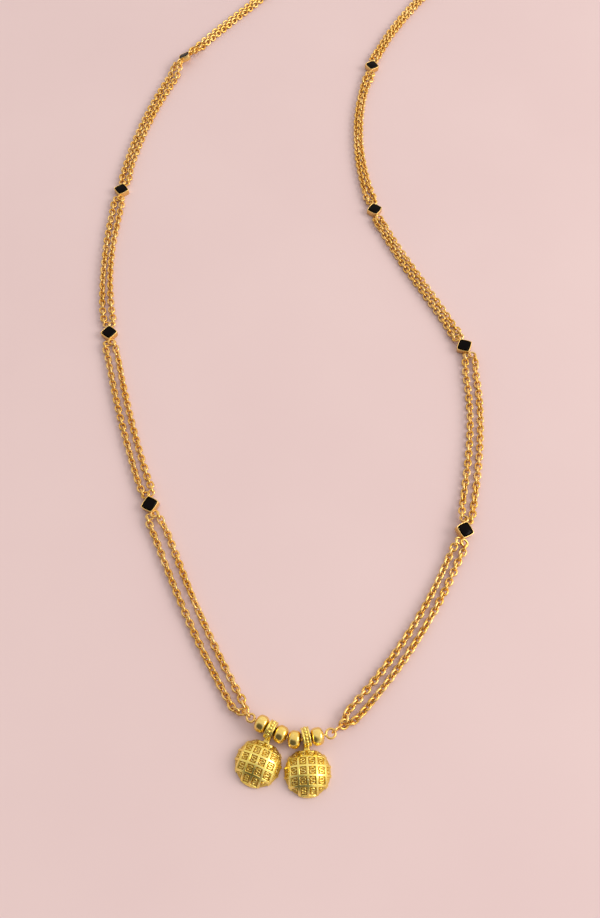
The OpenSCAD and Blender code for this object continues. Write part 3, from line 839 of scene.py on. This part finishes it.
# %% The bent wire and its eyes
WIRE_R = 0.35
TAPER_LEN = 0.8           # mm over which the wire thins towards an eye
SOLID_TONE = 0.1          # the wire and the cups are a little paler than the chains
left_neck = EYES["left"][0] + EYES["left"][1]
right_neck = EYES["right"][0] - EYES["right"][1]
run = np.linspace(left_neck, right_neck, 72)
taper = np.minimum(run - left_neck, right_neck - run)
thickness = EYE_WIRE + (WIRE_R - EYE_WIRE) * smooth(taper / TAPER_LEN)
wire_parts = [wire([wire_point(s) for s in run], thickness, sides=20)]
for at, radius in EYES.values():
    wire_parts.append(placed(ring(radius, EYE_WIRE, 64, 18), turned(0), wire_point(at)))
bent_wire = joined(wire_parts)
make_piece("bent_wire", bent_wire, warm_gold, ["pendant_wire"],
           {"tone": np.full(len(bent_wire[0]), SOLID_TONE)})
print("wire, mm from eye to eye:", round(EYES["right"][0] - EYES["left"][0], 2))

# %% Links and ring that hold the chains
left_oval = oval(LEFT_LINK["length"], LEFT_LINK["height"], JOINING_R, 16, 16)
make_piece("joining_link_left", placed(left_oval, left_turn @ UPRIGHT, left_link_at),
           warm_gold, ["joint_link_left"])

right_way = np.array([*along(RIGHT_LINK["heading"]), 0])
right_eye_end = wire_point(EYES["right"][0]) + EYES["right"][1] * right_way
ring_end = GATHER_AT - GATHER_R * right_way
gap = ring_end - right_eye_end
gap_long = np.linalg.norm(gap)
near, far = EYE_WIRE + LINK_GAP, GATHER_WIRE + GATHER_GAP
right_long = near + gap_long + far + 4 * JOINING_R
right_turn = turned(RIGHT_LINK["heading"], math.degrees(math.asin(-gap[2] / gap_long)))
right_at = (right_eye_end + ring_end) / 2 + (far - near) / 2 * gap / gap_long
right_oval = oval(right_long, RIGHT_LINK["height"], JOINING_R, 16, 16)
make_piece("joining_link_right", placed(right_oval, right_turn @ UPRIGHT, right_at),
           warm_gold, ["joint_link_right"])

make_piece("gathering_ring", placed(ring(GATHER_R, GATHER_WIRE, 64, 20), gather_turn, GATHER_AT),
           warm_gold, ["gather_ring_right"])
print("right joining link, mm long:", round(float(right_long), 2))

# %% [markdown]
# The clasp is a guess, because it lies beyond the picture's edge: a flat S of wire with a small
# ball melted on each tip, which holds a soldered ring on each side.

# %% Clasp and end rings
HOOK_R = 1.4
HOOK_WIRE = 0.4
HOOK_TURN = 290           # degrees in each half of the S
TIP_BALL = 1.25           # radius of a tip's ball, in radii of the wire
POLE_GAP = 0.05           # radians; a ball's first outline is a tiny ring, not a point

bend = arc(HOOK_R, 180, 180 + HOOK_TURN, 60) + [HOOK_R, 0, 0]
s_line = np.vstack([bend[::-1], -bend[1:]])
ball_r = TIP_BALL * HOOK_WIRE
ball = loft([arc(ball_r * math.sin(a), 0, 360, 29)[:-1] + [0, 0, ball_r * math.cos(a)]
             for a in np.linspace(POLE_GAP, math.pi - POLE_GAP, 24)])
s_parts = [wire(s_line, HOOK_WIRE, sides=22)]
s_parts += [placed(ball, turned(0), tip) for tip in (s_line[0], s_line[-1])]
clasp = placed(joined(s_parts), turned(0), HOOK_AT)
make_piece("s_clasp", clasp, warm_gold, ["clasp"])
for side, ring_at in end_ring_at.items():
    make_piece(f"soldered_ring_{side}",
               placed(ring(END_RING_R, END_RING_WIRE, 64, 20), end_ring_turn, ring_at),
               warm_gold, [f"end_ring_{side}"])
print("clasp, mm across:", np.ptp(clasp[0], axis=0).round(2))

# %% [markdown]
# The beads are drilled balls, flatter along the wire than across it and highly polished. Spinning
# one outline about the wire gives the whole skin, hole and all: out over the belly and back
# through the hole, with a small round at the hole's lip.

# %% Beads
BEAD_D = 4.2
BEAD_LEN = 3.1
BEAD_HOLE = 0.65
BEAD_POWER = 0.72         # 1 gives an ellipse, less a squarer belly
BEAD_LIP = 0.03           # mm, the round at the hole's lip
LIP_TURN = 0.02           # radians between the hole's radius and the belly's first point
BEAD_TONES = (-0.1, 0.2)
BEAD_AT = [-8.5, -3.41, 0.0, 5.4]


def spun(outline, steps):
    """A skin from an outline of (distance from the axis, place along it), spun about X."""
    angle = np.arange(steps) * 2 * math.pi / steps
    outline = np.asarray(outline)
    across = outline[:, :1] * np.cos(angle)
    up = outline[:, :1] * np.sin(angle)
    return np.stack([np.repeat(outline[:, 1:], steps, 1), across, up], -1)


first = math.asin((2 * BEAD_HOLE / BEAD_D) ** (1 / BEAD_POWER)) + LIP_TURN
belly = [(BEAD_D / 2 * math.sin(a) ** BEAD_POWER,
          BEAD_LEN / 2 * math.copysign(abs(math.cos(a)) ** BEAD_POWER, math.cos(a)))
         for a in np.linspace(first, math.pi - first, 40)]
hole_end = belly[0][1]
hole = [(BEAD_HOLE + BEAD_LIP / 3, BEAD_LIP - hole_end), (BEAD_HOLE, 4 * BEAD_LIP - hole_end),
        (BEAD_HOLE, 0), (BEAD_HOLE, hole_end - 4 * BEAD_LIP),
        (BEAD_HOLE + BEAD_LIP / 3, hole_end - BEAD_LIP)]
bead = loft(spun(belly + hole, 72), closed=True)
for number, at in enumerate(BEAD_AT, 1):
    tone = np.full(len(bead[0]), draw.uniform(*BEAD_TONES))
    threaded = placed(bead, turned(wire_heading(at)), wire_point(at))
    make_piece(f"gold_bead_{number}", threaded, burnished_gold, [f"bead_{number}"],
               {"tone": tone})
print("bead, mm across:", np.ptp(bead[0], axis=0).round(2))

# %% [markdown]
# A vati is a shallow cup, here with its back open and its dome up. A die has pressed a grid of
# ribs into it, and in each sunk field a small curl. The relief could be a bump in the material, but
# it has to stand up in close views and in the mesh itself, so it is real: a dense skin, drawn in
# wherever there is no rib.
#
# The skin is a fan of outlines, one for each direction from the cup's middle: over the dome, round
# the edge, down the side, under the rim and back up inside. The cup is cut straight across its top,
# so the outlines are shorter there. Each point of the outer part then sinks along the skin's own
# normal, by the ribs' height times how far it is from being a rib.

# %% The cup's outline
CUP_R = 5.55
CUP_H = 4.0
CUP_EDGE = 0.6            # height at which the dome would meet the edge
CUP_CUT = 4.72            # from the middle to the straight cut across the top
CUP_WALL = 0.8
RIB_H = 0.4
SIDE_DEPTH = 0.22         # the fields are shallower at the cup's side
RIB_W = 0.6
RIB_PITCH = np.array([2.12, 2.2])
DOME_R = (CUP_R ** 2 + (CUP_H - CUP_EDGE) ** 2) / (2 * (CUP_H - CUP_EDGE))
EDGE_EASE = 0.25          # mm, the round where the dome turns into the side
CUT_EASE = 0.12           # mm, the round where the straight cut meets the edge
LEAST_SINE = 0.3          # beyond this direction the round edge is always the nearer one
AROUND = 480
DOME_ROWS = 108
TOP_SHARE = 0.003         # the first outline is a tiny ring, not a point
FOOT_SHARE = 0.05         # height at which the side's last outline stands, as a share of the side


def cup_edge(angle):
    """Distance from the cup's middle to its edge: round, with a straight cut across the top."""
    cut = CUP_CUT / np.maximum(np.sin(angle), LEAST_SINE)
    return -CUT_EASE * np.log(np.exp(-CUP_R / CUT_EASE) + np.exp(-cut / CUT_EASE))


def cup_outline(edge):
    """Outer skin from top to foot, for each direction: distance, height and their normal."""
    centre = CUP_H - DOME_R
    steep = np.arcsin((edge - EDGE_EASE) / (DOME_R - EDGE_EASE))
    dome = np.linspace(TOP_SHARE, 1, DOME_ROWS)[:, None] * steep
    bend = steep + np.linspace(0, 1, 8)[1:, None] * (math.pi / 2 - steep)
    bend_z = centre + (DOME_R - EDGE_EASE) * np.cos(steep)
    side = np.linspace(1, FOOT_SHARE, 7)[1:, None] * bend_z
    away = np.vstack([DOME_R * np.sin(dome), edge - EDGE_EASE + EDGE_EASE * np.sin(bend),
                      edge + 0 * side])
    up = np.vstack([centre + DOME_R * np.cos(dome), bend_z + EDGE_EASE * np.cos(bend), side])
    tilt = np.vstack([dome, bend, np.full_like(side, math.pi / 2)])
    return away, up, np.sin(tilt), np.cos(tilt)


print("from the cup's middle to the straight cut, mm:", cup_edge(math.pi / 2).round(2))

# %% The pressed relief
CURL_HALF_W = 0.45        # mm, half width of a curl
CURL_QUARTER_H = 0.29     # and a quarter of its height
STROKE = 0.14             # half width of its stroke
SOFT = 0.11               # width of the slope beside a rib or a stroke
CURL_TIP = 15             # degrees from the level at which each end of a curl stops
CURL_RISE = 0.85          # a curl's height as a share of a rib's
CURL_LEAN = 9             # degrees
CURL_SIZES = (0.94, 1.04)
FIELD_COLUMNS = range(-3, 3)
FIELD_ROWS = range(-2, 3)


def curl_line(mirrored):
    """An S of two arcs about a field's middle."""
    upper = np.radians(np.linspace(CURL_TIP, 270, 15))
    lower = np.radians(np.linspace(90, CURL_TIP - 180, 15))[1:]
    x = CURL_HALF_W * np.concatenate([np.cos(upper), np.cos(lower)])
    y = CURL_QUARTER_H * np.concatenate([1 + np.sin(upper), np.sin(lower) - 1])
    return np.column_stack([-x if mirrored else x, y])


def distance_to_line(points, line):
    """Distance from each point to the nearest part of a bent line."""
    nearest = np.full(len(points), np.inf)
    for start, end in zip(line[:-1], line[1:]):
        way = end - start
        share = np.clip((points - start) @ way / (way @ way), 0, 1)
        gap = points - start - share[:, None] * way
        nearest = np.minimum(nearest, np.hypot(gap[:, 0], gap[:, 1]))
    return nearest


def step_down(distance, edge):
    """1 inside the edge, 0 outside it, with a soft slope between."""
    return smooth((edge + SOFT / 2 - distance) / SOFT)


def relief(x, y, draw):
    """How far each place on the cup belongs to a rib, and how far to a curl, from 0 to 1."""
    column = np.abs((x / RIB_PITCH[0] + 0.5) % 1 - 0.5) * RIB_PITCH[0]
    row = np.abs((y / RIB_PITCH[1]) % 1 - 0.5) * RIB_PITCH[1]
    ribs = np.maximum(step_down(column, RIB_W / 2), step_down(row, RIB_W / 2))
    curls = np.zeros_like(x)
    for i in FIELD_COLUMNS:
        for j in FIELD_ROWS:
            middle = np.array([(i + 0.5) * RIB_PITCH[0], j * RIB_PITCH[1]])
            here = np.abs(x - middle[0]) < RIB_PITCH[0] / 2
            here &= np.abs(y - middle[1]) < RIB_PITCH[1] / 2
            lean = turned(draw.uniform(-CURL_LEAN, CURL_LEAN))[:2, :2]
            line = curl_line((i + j) % 2 == 0) @ lean * draw.uniform(*CURL_SIZES)
            points = np.column_stack([x[here], y[here]]) - middle
            curls[here] = step_down(distance_to_line(points, line), STROKE)
    return ribs, curls


print("a curl, mm:", np.ptp(curl_line(False), axis=0).round(2))

# %% Build a cup
CURL_KEPT_IN = 0.2        # mm of the edge that is free of curls
EDGE_FADE = 0.5           # mm over which curls and depth fade towards the edge
CUT_FADE = 0.3            # mm of cut over which the fields' depth changes from the round side's
FOOT_TUCK = 0.99          # the foot's outline, as a share of the side's
INNER_LIP = 0.05          # mm, the round of the inner lip at the foot
LEAST_RISE = 0.06         # mm that the inner skin stays above the table
INNER_ROWS = np.linspace(1, 0.02, 20)
INSIDE_RECESS = 0.6       # the cup's inside is as dull as a half sunk place, and gets as much painted shade


def cup_skin(draw):
    angle = np.arange(AROUND) * 2 * math.pi / AROUND
    spokes = np.stack([np.cos(angle), np.sin(angle)], -1)
    edge = cup_edge(angle)
    away, up, out_share, up_share = cup_outline(edge)
    flat = away[..., None] * spokes
    ribs, curls = relief(flat[..., 0], flat[..., 1], draw)
    curl_share = smooth((edge - away - CURL_KEPT_IN) / EDGE_FADE)
    height = np.maximum(ribs, CURL_RISE * curls * curl_share)
    on_cut = smooth((CUP_R - edge) / CUT_FADE)
    at_side = SIDE_DEPTH * (1 - on_cut)
    depth = at_side + (RIB_H - at_side) * smooth((edge - away) / EDGE_FADE)
    sink = depth * (1 - height)
    outer = np.dstack([(away - sink * out_share)[..., None] * spokes, up - sink * up_share])

    inner_edge = edge - SIDE_DEPTH - CUP_WALL
    inner_r = DOME_R - RIB_H - CUP_WALL
    steepest = np.arcsin(np.minimum(inner_edge / inner_r, 1))
    inside = [outer[-1] * [FOOT_TUCK, FOOT_TUCK, 0],
              np.column_stack([(inner_edge + INNER_LIP)[:, None] * spokes, 0 * edge])]
    for share in INNER_ROWS:
        reach = inner_r * np.sin(share * steepest)
        dome_z = CUP_H - DOME_R + inner_r * np.cos(share * steepest)
        inside.append(np.column_stack([reach[:, None] * spokes, np.maximum(dome_z, LEAST_RISE)]))
    skin = loft(np.concatenate([outer, inside]))
    # How sunk each point is; in the finish it paints shade into the colour and dulls the gloss.
    sunk = (1 - height) * depth / RIB_H
    recess = np.concatenate([sunk.ravel(), np.full(AROUND * len(inside) + 2, INSIDE_RECESS)])
    return skin, recess


cup, cup_recess = cup_skin(draw)
print("faces in a cup:", len(cup[1]), "mm across:", np.ptp(cup[0], axis=0).round(2))

# %% [markdown]
# The bail is the band that the wire runs through: a short tube with two plain raised edges and
# between them a sunk band with a row of grains. Such a row is called milgrain, and a small wheel
# rolls it in. A stub of square bar, the neck, joins the bail to the cup.

# %% The bail
BAIL_R = 2.3
BAIL_W = 1.8
BAIL_HOLE = 0.95
BAIL_EDGE = 0.4           # mm, the width of each raised edge
BAIL_EASE = 0.1           # mm, the round of the outer corners
BAND_DEPTH = 0.15
BAIL_REACH = 7.65         # mm from the cup's middle to the bail's
GRAINS = 16
GRAIN_STEPS = 12
GRAIN_R = 0.36
GRAIN_RISE = 0.75         # a grain's height as a share of a ball's
GRAIN_FOOT = 0.08         # mm of height under which the band counts as sunk
BAND_RECESS = 0.8

half_w = BAIL_W / 2
band = half_w - BAIL_EDGE
band_r = BAIL_R - BAND_DEPTH
bail_outline = [(BAIL_HOLE, BAIL_EASE - half_w), (BAIL_HOLE + 0.08, -half_w),
                (BAIL_R - BAIL_EASE, -half_w), (BAIL_R - 0.03, 0.03 - half_w),
                (BAIL_R, BAIL_EASE - half_w), (BAIL_R, -band - 0.06), (BAIL_R - 0.04, -band),
                (band_r, 0.05 - band)]
mirrored = [(r, -x) for r, x in reversed(bail_outline)]
bail_outline += [(band_r, x) for x in np.linspace(BAIL_EASE - band, band - BAIL_EASE, 25)]
bail_grid = spun(bail_outline + mirrored, GRAINS * GRAIN_STEPS)
turn_of_grain = (np.arange(GRAINS * GRAIN_STEPS) / GRAIN_STEPS + 0.5) % 1 - 0.5
beside = turn_of_grain * 2 * math.pi * band_r / GRAINS
grain = np.sqrt(np.clip(GRAIN_R ** 2 - beside[None] ** 2 - bail_grid[..., 0] ** 2, 0, None))
on_band = np.hypot(bail_grid[..., 1], bail_grid[..., 2]) < band_r + 0.01
on_band &= np.abs(bail_grid[..., 0]) < band
swell = 1 + np.where(on_band, grain * GRAIN_RISE, 0) / band_r
bail_grid[..., 1:] *= swell[..., None]
bail = loft(bail_grid, closed=True)
# The sunk band between the grains gets painted shade and a duller finish.
bail_recess = np.where(on_band & (grain < GRAIN_FOOT), BAND_RECESS, 0.0).ravel()
print("bail, mm across:", np.ptp(bail[0], axis=0).round(2))

# %% The neck
NECK_W = 1.4
NECK_LOW = 0.3
NECK_TOP = 1.7
NECK_SIDES = 32
NECK_SQUARE = 0.5         # 1 gives an ellipse, less a squarer section
NECK_FROM = CUP_CUT - 0.4
NECK_TO = BAIL_REACH - 1.4
NECK_FLARE = 0.2          # how much wider the neck is at the cup
FLARE_LEN = 0.6           # mm over which it narrows
# The neck gets a little painted shade, as a lightly sunk place would.
NECK_RECESS = 0.35


def neck_section(y, swell):
    angle = np.arange(NECK_SIDES) * 2 * math.pi / NECK_SIDES
    round_x = np.sign(np.cos(angle)) * np.abs(np.cos(angle)) ** NECK_SQUARE
    round_z = np.sign(np.sin(angle)) * np.abs(np.sin(angle)) ** NECK_SQUARE
    middle = (NECK_LOW + NECK_TOP) / 2
    return np.column_stack([NECK_W / 2 * swell * round_x, np.full_like(angle, y),
                            middle + (NECK_TOP - NECK_LOW) / 2 * round_z])


neck = loft([neck_section(y, 1 + NECK_FLARE * (1 - smooth((y - CUP_CUT) / FLARE_LEN)))
             for y in np.linspace(NECK_FROM, NECK_TO, 12)])
print("neck, mm across:", np.ptp(neck[0], axis=0).round(2))

# %% [markdown]
# Both cups come from one die, so both have the same skin. Each hangs from its own place on the
# wire and leans its own way, and a loose bail lets the cup slip up or down a little.

# %% Both vatis
# place on the wire, lean to the left in degrees, and mm that the cup is pushed up
HANGING = {"left": (-5.95, 22, -0.25), "right": (2.75, -2.4, 0.45)}
for side, (at, lean, push) in HANGING.items():
    hanging = turned(-lean)
    bail_at = wire_point(at) + hanging @ [0, push, 0]
    cup_at = bail_at * [1, 1, 0] + hanging @ [0, -BAIL_REACH, 0]
    parts = [placed(cup, hanging, cup_at), placed(neck, hanging, cup_at),
             placed(bail, turned(wire_heading(at)), bail_at)]
    vati = joined(parts)
    # recess paints shade into the cup's fields and inside, the neck and the bail's band, and dulls
    # them.
    recess = np.concatenate([cup_recess, np.full(len(neck[0]), NECK_RECESS), bail_recess])
    tone = np.full(len(vati[0]), SOLID_TONE)
    make_piece(f"vati_cup_{side}", vati, lemon_gold, [f"vati_{side}"],
               {"recess": recess, "tone": tone})
    print("vati", side, "faces:", len(vati[1]))

# %% [markdown]
# The table is a plain pale board, with the faint warmth of the picture's. Matt paint on board is
# rough, and its colour is never quite even.

# %% Table
TABLE_HALF_WIDE = 1.5     # metres
MOTTLE_PATCH = 60.0       # mm across which the paint's colour drifts

floor_material, tree, shader = new_material("Matt painted board")
place = add_node(tree, "ShaderNodeTexCoord").outputs["Object"]
mottle = add_node(tree, "ShaderNodeTexNoise", {"Vector": place},
                  {"Scale": METRE_IN_MM / MOTTLE_PATCH, "Detail": 3.0})
paint = add_node(tree, "ShaderNodeMix", {"Factor": mottle.outputs["Fac"]},
                 {COLOUR_A: linear("E0C6C6"), COLOUR_B: linear("E7CFCE")}, data_type="RGBA")
tree.links.new(paint.outputs[COLOUR_OUT], shader.inputs["Base Color"])
shader.inputs["Roughness"].default_value = 0.75
shader.inputs["Specular IOR Level"].default_value = 0.25
corners = TABLE_HALF_WIDE * np.array([(-1, -1, 0), (1, -1, 0), (1, 1, 0), (-1, 1, 0)])
mesh = bpy.data.meshes.new("table")
mesh.from_pydata(corners, [], [(0, 1, 2, 3)])
mesh.materials.append(floor_material)
table = bpy.data.objects.new("table", mesh)
bpy.context.collection.objects.link(table)
print("table, metres wide:", 2 * TABLE_HALF_WIDE)

# %% [markdown]
# Metal shows what is around it, so the light is most of the look. In the picture the gold is bright
# and smooth all over, as in a white tent, with its brightest band on the right flank of every bead
# and cup and a dark olive spot to the lower left of each bead's middle. So the studio is bright all
# round, a little more to the right and behind, one large window-like light stands low on the right,
# and a dark patch stands in front, on the camera's side, as any camera makes one.

# %% Window light
def soft_light(name, place_mm, size_mm, watts, colour):
    light = bpy.data.lights.new(name, "AREA")
    light.shape = "RECTANGLE"
    light.size, light.size_y = [MM * value for value in size_mm]
    light.energy = watts
    light.color = linear(colour)[:3]
    lamp = bpy.data.objects.new(name, light)
    lamp.location = [MM * value for value in place_mm]
    toward = -lamp.location
    lamp.rotation_euler = toward.to_track_quat("-Z", "Y").to_euler()
    bpy.context.collection.objects.link(lamp)


soft_light("Window", place_mm=(1200, -120, 800), size_mm=(920, 680), watts=11.6, colour="FFF9F2")
print("lights:", [thing.name for thing in bpy.data.lights])

# %% The studio around
PATCH = (-0.42, -0.74, 0.53)    # the way to the dark patch
PATCH_EDGES = (0.58, 0.93)      # cosines between which the tent's brightness falls to the patch's
PATCH_SHADE = 0.16              # the patch's brightness as a share of the tent's
TO_THE_RIGHT = 0.19             # how much brighter the right wall is than the middle
TO_THE_BACK = 0.1               # and the back wall
TENT = 0.95                     # the tent's brightness in the middle

world = bpy.data.worlds.new("White tent")
world.use_nodes = True
tree = world.node_tree
tree.nodes.clear()
direction = add_node(tree, "ShaderNodeTexCoord").outputs["Generated"]
parts = add_node(tree, "ShaderNodeSeparateXYZ", {"Vector": direction})
toward_patch = add_node(tree, "ShaderNodeVectorMath", {0: direction}, {1: PATCH},
                        operation="DOT_PRODUCT")
shade = add_node(tree, "ShaderNodeMapRange", {"Value": toward_patch.outputs["Value"]},
                 {"From Min": PATCH_EDGES[0], "From Max": PATCH_EDGES[1], "To Min": 1.0,
                  "To Max": PATCH_SHADE}, interpolation_type="SMOOTHSTEP")
right = add_node(tree, "ShaderNodeMath", {0: parts.outputs["X"]}, {1: TO_THE_RIGHT, 2: TENT},
                 operation="MULTIPLY_ADD")
sidelong = add_node(tree, "ShaderNodeMath", {0: parts.outputs["Y"], 2: right.outputs[0]},
                    {1: TO_THE_BACK}, operation="MULTIPLY_ADD")
strength = add_node(tree, "ShaderNodeMath", {0: sidelong.outputs[0], 1: shade.outputs[0]},
                    operation="MULTIPLY")
glow = add_node(tree, "ShaderNodeBackground", {"Strength": strength.outputs[0]},
                {"Color": linear("FBF6F2")})
add_node(tree, "ShaderNodeOutputWorld", {"Surface": glow.outputs[0]})
bpy.context.scene.world = world
bpy.context.scene.view_settings.view_transform = "Standard"
print("world:", world.name)
